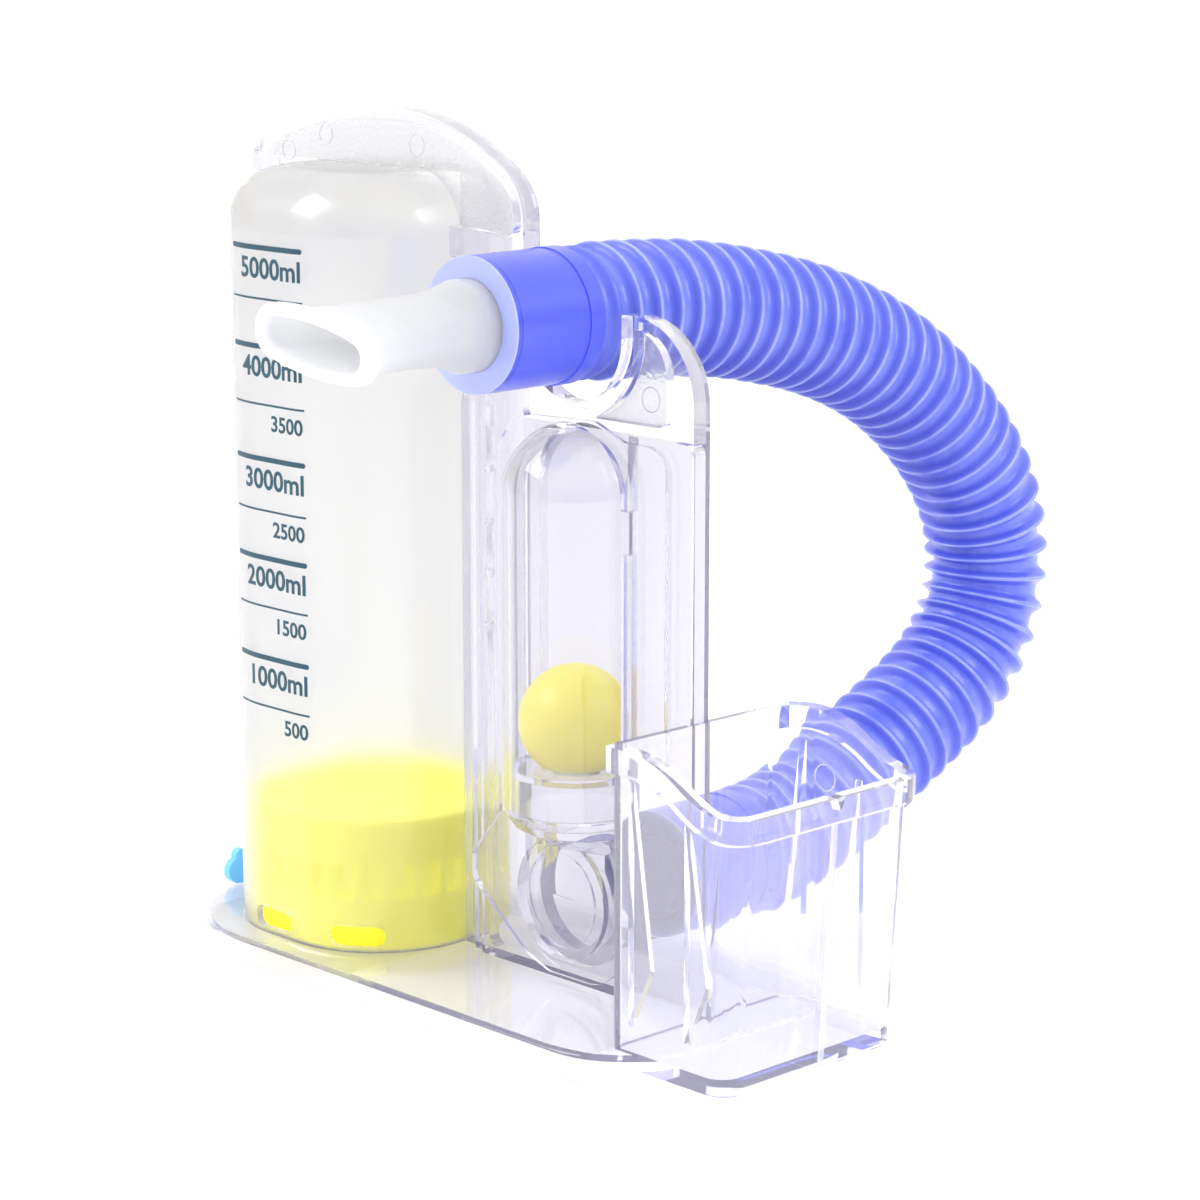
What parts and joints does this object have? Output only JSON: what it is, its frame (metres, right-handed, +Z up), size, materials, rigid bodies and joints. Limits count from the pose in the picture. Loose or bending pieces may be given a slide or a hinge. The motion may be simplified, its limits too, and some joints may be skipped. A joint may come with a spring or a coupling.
{
  "type": "incentive spirometer",
  "caption": "Volumetric incentive spirometer: clear housing with piston chamber, flow ball tube and bin, slide pointer, corrugated hose and flat mouthpiece in its cradle.",
  "frame": {"origin": "centre of the footprint of the rigid housing on the table", "axes": "+Z up, +X from the piston chamber towards the bin, -Y towards the patient (the mouthpiece side)"},
  "size_m": [0.202, 0.2403, 0.209],
  "materials": {
    "clear_housing": "clear polystyrene, polished, frosted on the chamber wall",
    "clear_seat": "clear polystyrene ring",
    "yellow_moulding": "moulded polyethylene, semi-gloss",
    "pointer_blue": "moulded polypropylene, slightly see-through",
    "hose_blue": "soft corrugated EVA with a satin skin",
    "white_mouthpiece": "moulded polypropylene, satin"
  },
  "bodies": {
    "housing": {"front_shell": "clear_housing", "rear_shell": "clear_housing", "ball_seat": "clear_seat", "hose": "hose_blue", "mouth_cuff": "hose_blue", "port_cuff": "hose_blue"},
    "piston": {"piston": "yellow_moulding"},
    "ball": {"flow_ball": "yellow_moulding"},
    "pointer": {"goal_pointer": "pointer_blue"},
    "mouthpiece": {"mouthpiece": "white_mouthpiece"}
  },
  "joints": [
    {"name": "piston_slide", "type": "slide", "parent": "housing", "child": "piston", "axis": [0, 0, 1], "range_m": [0, 0.137]},
    {"name": "ball_slide", "type": "slide", "parent": "housing", "child": "ball", "axis": [0, 0, 1], "range_m": [0, 0.054]},
    {"name": "pointer_slide", "type": "slide", "parent": "housing", "child": "pointer", "axis": [0, 0, 1], "range_m": [0, 0.16]},
    {"name": "mouthpiece_pull", "type": "slide", "parent": "housing", "child": "mouthpiece", "axis": [0, -1, 0], "range_m": [0, 0.02]}
  ]
}
